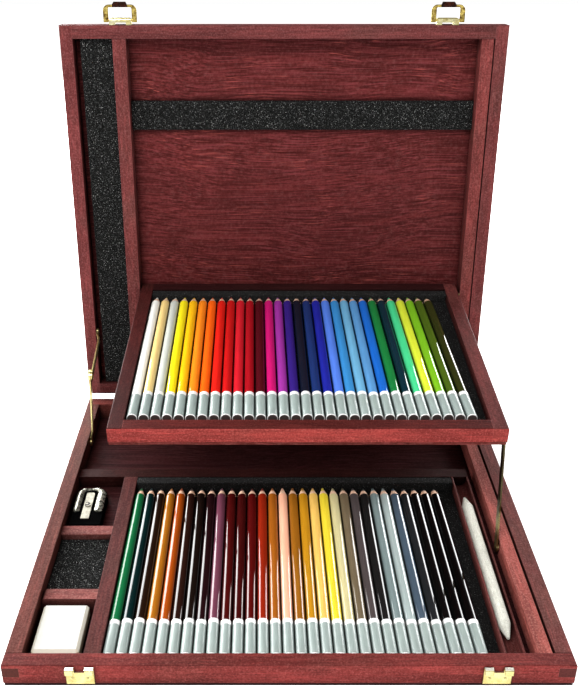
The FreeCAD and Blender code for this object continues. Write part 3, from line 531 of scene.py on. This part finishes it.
def dress_frame():
    lid, tray = -LEAN, TILT
    tray_front = (0.320, 0.046, 0.040)
    # The colours differ from part to part partly as painted shade: parts that lie in shade under
    # the tray and the lid, such as the rear divider and the tray's back and left rails, are
    # painted darker.
    woods = {     # grain axis, colour, lean of the part, how dark its top is painted as shade, nodes
        "base_front_wood": (0, (0.238, 0.037, 0.033), 0.0, 0.60, ["base_front_rail"]),
        "base_back_wood": (0, (0.130, 0.028, 0.024), 0.0, 1.0, ["base_back_rail"]),
        "base_left_wood": (1, (0.118, 0.033, 0.026), 0.0, 1.0, ["base_left_rail"]),
        "base_right_wood": (1, (0.150, 0.038, 0.034), 0.0, 1.0, ["base_right_rail"]),
        "divider_wood": (1, (0.076, 0.020, 0.018), 0.0, 1.0, ["left_divider"]),
        "stump_rail_wood": (1, (0.115, 0.029, 0.026), 0.0, 1.0, ["stump_rail"]),
        "rear_divider_wood": (0, (0.034, 0.008, 0.007), 0.0, 1.0, ["rear_divider"]),
        "cross_wall_wood": (0, (0.210, 0.062, 0.055), 0.0, 1.0,
                            ["compartment_wall_front", "compartment_wall_rear"]),
        "filler_wood": (1, (0.340, 0.082, 0.068), 0.0, 1.0, ["right_filler_strip"]),
        "lid_front_wood": (0, (0.125, 0.030, 0.029), lid, 1.0, ["lid_front_rail"]),
        "lid_back_wood": (0, (0.110, 0.025, 0.024), lid, 1.0, ["lid_back_rail"]),
        "lid_left_wood": (2, (0.160, 0.036, 0.035), lid, 1.0, ["lid_left_rail"]),
        "lid_right_wood": (2, (0.150, 0.034, 0.033), lid, 1.0, ["lid_right_rail"]),
        "lid_strip_left_wood": (2, (0.155, 0.036, 0.034), lid, 1.0, ["lid_left_strip"]),
        "lid_strip_right_wood": (2, (0.180, 0.038, 0.035), lid, 1.0, ["lid_right_strip"]),
        "tray_front_wood": (0, tray_front, tray, 0.25, ["tray_front_rail"]),
        "tray_back_wood": (0, (0.030, 0.007, 0.007), tray, 1.0, ["tray_back_rail"]),
        "tray_left_wood": (1, (0.054, 0.0105, 0.0095), tray, 1.0, ["tray_left_rail"]),
        "tray_right_wood": (1, (0.115, 0.027, 0.025), tray, 1.0, ["tray_right_rail"])}
    for seed, (name, (grain, colour, turn, top, names)) in enumerate(woods.items()):
        ends = (15.0, tray_front) if name in ("tray_left_wood", "tray_right_wood") else None
        # How far the painted shade in corners reaches.
        reach = 0.004 if name in ("stump_rail_wood", "filler_wood") else 0.014
        dress(stained_wood(name, grain, seed + 1.0, colour, turn, top, ends, reach), *names)
    # The bottom panel is painted dark: painted shade under the tray.
    dress(stained_ply("bottom_panel_ply", 31.0, (0.032, 0.008, 0.008), bright=0.3),
          "base_bottom_panel")
    dress(stained_ply("lid_panel_ply", 32.0, (0.086, 0.0145, 0.0140), turn=lid), "lid_panel")
    dress(stained_ply("tray_panel_ply", 33.0, (0.120, 0.024, 0.020), turn=tray, bright=0.3),
          "tray_panel")


def dress_hardware():
    # The keepers' upper faces are painted near-white: painted highlight.
    dress(brass("keeper_brass", 1.0, 0.92, 0.5, top=(1.0, 0.98, 0.86)),
          "keeper_left", "keeper_right")
    dress(brass("latch_brass", 2.0, 1.0, 0.95, 300.0, (0.13, 0.062, 0.008), (0.95, 0.74, 0.20)),
          "latch_bail_left", "latch_bail_right")
    dress(brass("housing_brass", 6.0, 0.95, 0.6, pale=(0.92, 0.90, 0.58)),
          "latch_housing_left", "latch_housing_right")
    dress(brass("hinge_brass", 3.0, 0.9), "base_hinge_leaves", "lid_hinge_leaves", "hinge_pins")
    dress(brass("screw_brass", 4.0, 0.9), "keeper_screws", "base_hinge_screws",
          "base_pivot_screws", "lid_hinge_screws", "stay_lid_screw", "tray_pivot_pins",
          "tray_arm_pin")
    dress(brass("stay_brass", 5.0, 1.15), "stay_lower_arm", "stay_upper_arm")
    # The arm is painted dark above 36 mm: painted shade.
    dress(brass("arm_brass", 7.0, 0.75, 0.8, 60.0, (0.08, 0.045, 0.012), shaded_above=0.036),
          "tray_arm")
    dress(bronze("thumb_bronze"), "latch_thumb_left", "latch_thumb_right")


# ------------------------------------------------------------------ piece helpers
def piece(name, form, materials, body, stands_for, place=ON_BASE):
    mesh = bpy.data.meshes.new(name)
    form.transform(place)
    bmesh.ops.recalc_face_normals(form, faces=form.faces)
    for face in form.faces:
        face.smooth = True
    form.to_mesh(mesh)
    form.free()
    for material in materials:
        mesh.materials.append(material)
    made = bpy.data.objects.new(name, mesh)
    bpy.context.scene.collection.objects.link(made)
    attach(made, body)
    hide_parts(*stands_for)
    return made


def grid_block(low, high, step, edge):
    """A closed block of small cells whose outer edges are rounded over by edge."""
    counts = [max(4, round((b - a) / step)) for a, b in zip(low, high)]

    def stations(axis):
        a, b = low[axis], high[axis]
        inner = [a + edge + (b - a - 2 * edge) * i / counts[axis]
                 for i in range(counts[axis] + 1)]
        return [a, a + edge * 0.3] + inner + [b - edge * 0.3, b]

    lines = [stations(i) for i in range(3)]
    form = bmesh.new()
    made = {}

    def vert(i, j, k):
        key = (i, j, k)
        if key not in made:
            co = Vector((lines[0][i], lines[1][j], lines[2][k]))
            core = Vector([min(max(co[n], low[n] + edge), high[n] - edge) for n in range(3)])
            out = co - core
            if out.length > edge or sum(abs(part) > 1e-9 for part in out) > 1:
                co = core + out.normalized() * edge
            made[key] = form.verts.new(co)
        return made[key]

    n = [len(line) - 1 for line in lines]
    for a in range(3):
        b, c = (a + 1) % 3, (a + 2) % 3
        for side in (0, n[a]):
            for i in range(n[b]):
                for j in range(n[c]):
                    corners = []
                    for di, dj in ((0, 0), (1, 0), (1, 1), (0, 1)):
                        key = [0, 0, 0]
                        key[a], key[b], key[c] = side, i + di, j + dj
                        corners.append(vert(*key))
                    form.faces.new(corners)
    return form


def foam(name, low, high, top, body, node, material, place=ON_BASE, edge=0.45, step=7.0):
    """Cut foam sheet: cut edges slightly rounded, its free face gently uneven."""
    axis, side = top
    thin = high[axis] - low[axis]
    form = grid_block(low, high, step, min(edge, thin * 0.3))
    level = high[axis] if side > 0 else low[axis]
    for v in form.verts:
        depth = abs(v.co[axis] - level)
        if depth < thin * 0.5:
            sag = 0.10 + 0.10 * noise.noise(v.co * 0.09) + 0.05 * noise.noise(v.co * 0.4)
            v.co[axis] -= side * max(0.0, sag) * (1.0 - depth / (thin * 0.5))
    made = piece(name, form, [material], body, [node], place)


def build_foam():
    bed = speckled_foam("bed_foam", 1.0, 1.0, 0.35)
    pad = speckled_foam("pad_foam", 2.0, 0.55, 1.2)
    lid = speckled_foam("lid_foam", 3.0, 0.70, 1.0)
    strip = speckled_foam("strip_foam", 4.0, 1.8, 0.4)
    foam("foam_bed_lower", (BAY_LEFT, -148.5, 2.5), (BAY_RIGHT, 43.2, 4.0), (2, 1), "base",
         "lower_foam_bed", bed)
    foam("foam_end_lower", (BAY_LEFT, 35.2, 4.0), (BAY_RIGHT, 43.2, 12.2), (2, 1), "base",
         "lower_foam_end_strip", strip)
    foam("foam_pad", (-164.3, -86.5, 2.5), (-127.6, -28.9, 8.0), (2, 1), "base",
         "accessory_foam_pad", pad, edge=0.9, step=3.5)
    foam("foam_column", (-160.2, 4.0, 10.0), (-134.2, 14.5, 308.0), (1, -1), "lid",
         "lid_foam_column", lid, ON_LID, edge=0.9)
    foam("foam_band", (-123.6, 9.7, 236.0), (154.6, 14.5, 259.0), (1, -1), "lid",
         "lid_foam_band", lid, ON_LID, edge=0.9)
    foam("foam_bed_upper", (TRAY_LEFT, 10.5, 2.5), (TRAY_RIGHT, 203.5, 5.9), (2, 1), "tray",
         "tray_foam_bed", bed, ON_TRAY)
    foam("foam_end_upper", (TRAY_LEFT, 195.5, 5.9), (TRAY_RIGHT, 203.5, 12.6), (2, 1), "tray",
         "tray_foam_end_strip", strip, ON_TRAY)


# ------------------------------------------------------------------ pencils
LOWER_COLOURS = [
    (0.007, 0.130, 0.042), (0.002, 0.014, 0.014), (0.014, 0.006, 0.003), (0.350, 0.120, 0.008),
    (0.320, 0.055, 0.004), (0.018, 0.006, 0.004), (0.007, 0.004, 0.003), (0.012, 0.003, 0.004),
    (0.135, 0.038, 0.064), (0.055, 0.003, 0.003), (0.042, 0.003, 0.003), (0.075, 0.003, 0.003),
    (0.250, 0.015, 0.004), (0.320, 0.090, 0.008), (0.840, 0.430, 0.280), (0.280, 0.100, 0.008),
    (0.480, 0.220, 0.010), (0.780, 0.480, 0.110), (0.760, 0.590, 0.036), (0.580, 0.520, 0.270),
    (0.145, 0.110, 0.065), (0.065, 0.052, 0.052), (0.010, 0.010, 0.010), (0.180, 0.235, 0.235),
    (0.360, 0.430, 0.420), (0.060, 0.090, 0.125), (0.014, 0.016, 0.018), (0.003, 0.003, 0.003),
    (0.002, 0.002, 0.002), (0.002, 0.002, 0.002)]
UPPER_COLOURS = [
    (0.900, 0.900, 0.840), (0.820, 0.600, 0.230), (0.560, 0.590, 0.530), (0.900, 0.760, 0.012),
    (0.940, 0.500, 0.008), (0.920, 0.240, 0.012), (0.920, 0.120, 0.006), (0.720, 0.014, 0.008),
    (0.520, 0.008, 0.008), (0.580, 0.012, 0.022), (0.360, 0.005, 0.011), (0.070, 0.003, 0.007),
    (0.560, 0.008, 0.150), (0.300, 0.030, 0.300), (0.028, 0.012, 0.180), (0.004, 0.008, 0.018),
    (0.008, 0.028, 0.130), (0.010, 0.018, 0.300), (0.080, 0.200, 0.720), (0.035, 0.240, 0.560),
    (0.140, 0.390, 0.610), (0.095, 0.290, 0.580), (0.008, 0.130, 0.560), (0.008, 0.190, 0.042),
    (0.002, 0.024, 0.036), (0.060, 0.640, 0.260), (0.700, 0.780, 0.045), (0.185, 0.470, 0.016),
    (0.062, 0.115, 0.009), (0.026, 0.032, 0.006)]


def between_neighbours(g, colour):
    """Pencils lie close together and end close behind a rail: hardly any light reaches the
    sides they turn to each other, and little their flat ends."""
    normal = g.coords(source="Normal")
    aside = g.math("ABSOLUTE", g.axis(normal, 0))
    made = g.mix(g.grey(aside, 0.80, 0.98, 0.0, 0.85), colour, (0.004, 0.004, 0.004))
    # The flat ends get painted shade, tinted red-brown as a painted reflection of the rail in
    # front of them.
    return g.mix(g.grey(g.axis(normal, 1), -0.90, -0.97, 0.0, 0.92), made, (0.030, 0.011, 0.010))


def pencil_materials():
    paint = Graph("pencil_lacquer", Roughness=0.35, Specular_IOR_Level=0.0, Coat_Weight=1.0,
                  Coat_Roughness=0.04, Coat_IOR=1.33)
    tone = paint.noise(paint.coords((500.0, 30.0, 500.0)), 1.0, 3.0, 0.6)
    peel = paint.noise(paint.coords(), 900.0, 2.0, 0.5)
    own = paint.node("Attribute", attribute_name="paint").outputs["Color"]
    own = paint.mix(paint.grey(tone, 0.35, 0.65, 0.12, 0.0), own, (0, 0, 0))
    paint.set("Base Color", between_neighbours(paint, own))
    paint.set("Roughness", paint.grey(peel, 0.3, 0.7, 0.30, 0.42))
    paint.bump(peel, 0.04, 0.00003)

    cedar = Graph("pencil_cedar", Roughness=0.7)
    lines = cedar.noise(cedar.coords((1500.0, 120.0, 1500.0)), 1.0, 4.0, 0.7)
    cedar.set("Base Color", cedar.mix(cedar.grey(lines, 0.35, 0.65), (0.52, 0.29, 0.17),
                                      (0.80, 0.55, 0.40)))
    cedar.set("Roughness", cedar.grey(lines, 0.3, 0.7, 0.6, 0.85))
    cedar.bump(lines, 0.3, 0.0001)

    lead = Graph("pencil_lead", Roughness=0.5)
    crumb = lead.noise(lead.coords(), 2200.0, 3.0, 0.7)
    own = lead.node("Attribute", attribute_name="paint").outputs["Color"]
    lead.set("Base Color", lead.mix(lead.grey(crumb, 0.4, 0.7, 0.35, 0.0), own,
                                    (0.01, 0.01, 0.01)))
    lead.set("Roughness", lead.grey(crumb, 0.3, 0.7, 0.4, 0.7))
    lead.bump(crumb, 0.3, 0.00008)

    ring = Graph("pencil_white_band", Roughness=0.3, Coat_Weight=0.6, Coat_Roughness=0.08)
    tone = ring.noise(ring.coords(), 500.0, 3.0, 0.6)
    white = ring.mix(tone, (0.80, 0.80, 0.78), (0.90, 0.90, 0.89))
    ring.set("Base Color", between_neighbours(ring, white))
    ring.bump(tone, 0.1, 0.00005)

    cap = Graph("pencil_grey_cap", Roughness=0.4, Specular_IOR_Level=0.2, Coat_Weight=0.22,
                Coat_Roughness=0.10)
    tone = cap.noise(cap.coords((500.0, 60.0, 500.0)), 1.0, 4.0, 0.65)
    grey = cap.mix(cap.grey(tone, 0.3, 0.7), (0.248, 0.298, 0.281), (0.314, 0.380, 0.358))
    cap.set("Base Color", between_neighbours(cap, grey))
    cap.set("Roughness", cap.grey(tone, 0.3, 0.7, 0.3, 0.45))
    cap.bump(tone, 0.08, 0.00004)
    return [paint.material, cedar.material, lead.material, ring.material, cap.material]


PAINT, CEDAR, LEAD, RING, CAP = range(5)
LENGTH = 177.5
RADIUS = 3.85
TIP_PITCH = 7.97        # the points lie a little closer together than the flat ends
SIDES = 32


def pencil_profile(ring, add=0.0):
    """Distance from the flat end, radius, and what follows that point. The white ring ends
    at ring, and add makes the cone start later."""
    return [(0.0, 0.0, CAP), (0.0, 3.30, RING), (0.25, 3.70, RING), (0.7, RADIUS, CAP),
            (ring - 3.9, RADIUS, CAP), (ring - 3.7, RADIUS, RING), (ring - 0.2, RADIUS, RING),
            (ring, RADIUS, PAINT), (92.0, RADIUS, PAINT), (160.4 + add, RADIUS, PAINT),
            (162.0 + add, 3.80, PAINT), (163.0 + add, 3.62, CEDAR), (163.9 + add, 3.38, CEDAR),
            (168.2 + add, 2.10, CEDAR), (168.6 + add, 2.02, LEAD), (175.2, 1.15, LEAD),
            (176.9, 0.72, LEAD), (LENGTH, 0.30, LEAD), (LENGTH, 0.0, LEAD)]


def add_pencil(form, layer, ring, add, x, tip_x, front, z, colour, spin):
    rings = []
    profile = pencil_profile(ring, add)
    slope = (tip_x - x) / LENGTH
    for y, radius, _ in profile:
        middle = x + slope * y
        if radius == 0.0:
            rings.append([form.verts.new((middle, front + y, z))])
            continue
        rings.append([form.verts.new((middle + radius * math.sin(spin + math.tau * i / SIDES),
                                      front + y,
                                      z + radius * math.cos(spin + math.tau * i / SIDES)))
                      for i in range(SIDES)])
    for (a, b), (_, _, what) in zip(zip(rings, rings[1:]), profile):
        for i in range(SIDES):
            j = (i + 1) % SIDES
            corners = [a[i % len(a)], a[j % len(a)], b[j % len(b)], b[i % len(b)]]
            face = form.faces.new(dict.fromkeys(corners))
            face.material_index = what
            for loop in face.loops:
                loop[layer] = (*colour, 1.0)


def build_pencils():
    materials = pencil_materials()
    # name, body, node, colours, x of the first, pitch, y of the flat ends, height, end of the
    # white ring, how much later the cone starts, frame
    rows = (("coloured_pencils_lower", "base", "pencils_lower", LOWER_COLOURS,
             BAY_LEFT + 0.4 + RADIUS, 8.08, -143.8, 7.85, 30.3, 3.4, ON_BASE),
            ("coloured_pencils_upper", "tray", "pencils_upper", UPPER_COLOURS,
             TRAY_LEFT + 0.6 + RADIUS, 8.19, 17.3, 9.75, 29.2, 4.0, ON_TRAY))
    for name, body, node, colours, start, pitch, front, z, ring, add, place in rows:
        chance = random.Random(name)
        form = bmesh.new()
        layer = form.loops.layers.float_color.new("paint")
        for i, colour in enumerate(colours):
            add_pencil(form, layer, ring + chance.uniform(-0.6, 0.6), add, start + pitch * i,
                       start + TIP_PITCH * i, front + chance.uniform(-0.25, 0.25), z, colour,
                       chance.uniform(0, 1))
        piece(name, form, materials, body, [node], place)


def build_shell():
    """The sharpener's bright shell: two domed lobes joined by a thin arc behind the blade."""
    left, right, near, far = -158.9, -142.3, 0.3, 29.7
    wide_left, wide_right = 2.6, 3.5        # half widths of the lobes
    nose, pace, straight = 2.2, 1.45, 15    # rounded ends, and the stations along a lobe
    bends, steps = 24, 12                   # stations round the arc, and across the dome
    taper = (0.03, 0.15, 0.35, 0.6, 0.8)    # stations within a rounded end
    base_z, dome = 9.9, 2.35
    arc_from, thin = 22.9, 1.0              # where the arc leaves the lobes, its half width

    line = [(left, near + nose + i * pace, wide_left) for i in range(straight)]
    middle, reach = (left + right) / 2, (right - left) / 2
    for i in range(1, bends):
        turn = math.pi * i / bends
        lobe = wide_left if turn < math.pi / 2 else wide_right
        wide = thin + lobe * 0.62 * abs(math.cos(turn)) ** 2
        line.append((middle - reach * math.cos(turn),
                     arc_from + (far - (arc_from + thin)) * math.sin(turn), wide))
    line += [(right, near + nose + (straight - 1 - i) * pace, wide_right)
             for i in range(straight)]

    def rounded_end(point, wide, shares):
        return [(point[0], point[1] - nose * (1 - k), wide * math.sqrt(1 - (1 - k) ** 2))
                for k in shares]

    line = (rounded_end(line[0], wide_left, taper) + line
            + rounded_end(line[-1], wide_right, taper[::-1]))
    form = bmesh.new()
    rows = []
    for n, (x, y, wide) in enumerate(line):
        before, after = line[max(0, n - 1)], line[min(len(line) - 1, n + 1)]
        along = Vector((after[0] - before[0], after[1] - before[1], 0)).normalized()
        side = Vector((along.y, -along.x, 0))
        high = dome * min(1.0, wide / 1.6)
        rows.append([])
        for i in range(steps + 1):
            turn = math.pi * i / steps
            rise = Vector((0, 0, high * math.sin(turn) ** 0.7))
            rows[-1].append(form.verts.new(
                Vector((x, y, base_z)) + side * (wide * math.cos(turn)) + rise))
    for a, b in zip(rows, rows[1:]):
        for i in range(steps):
            form.faces.new((a[i], a[i + 1], b[i + 1], b[i]))
        form.faces.new((a[steps], a[0], b[0], b[steps]))
    form.faces.new(rows[0])
    form.faces.new(rows[-1])
    bright = bright_metal("sharpener_bright", (0.40, 0.40, 0.33), 0.16, 0.30, metal=0.7)
    piece("sharpener_domed_shell", form, [bright.material], "sharpener",
          ["sharpener_shell"])


def dress_contents():
    dress(dark_plastic("sharpener_black"), "sharpener_body")
    dress(blade_steel(), "sharpener_blade")
    dress(eraser_rubber(), "eraser")
    dress(stump_paper(), "blending_stump")
    build_shell()


build_camera()
build_studio()
dress_frame()
dress_hardware()
dress_contents()
build_foam()
build_pencils()
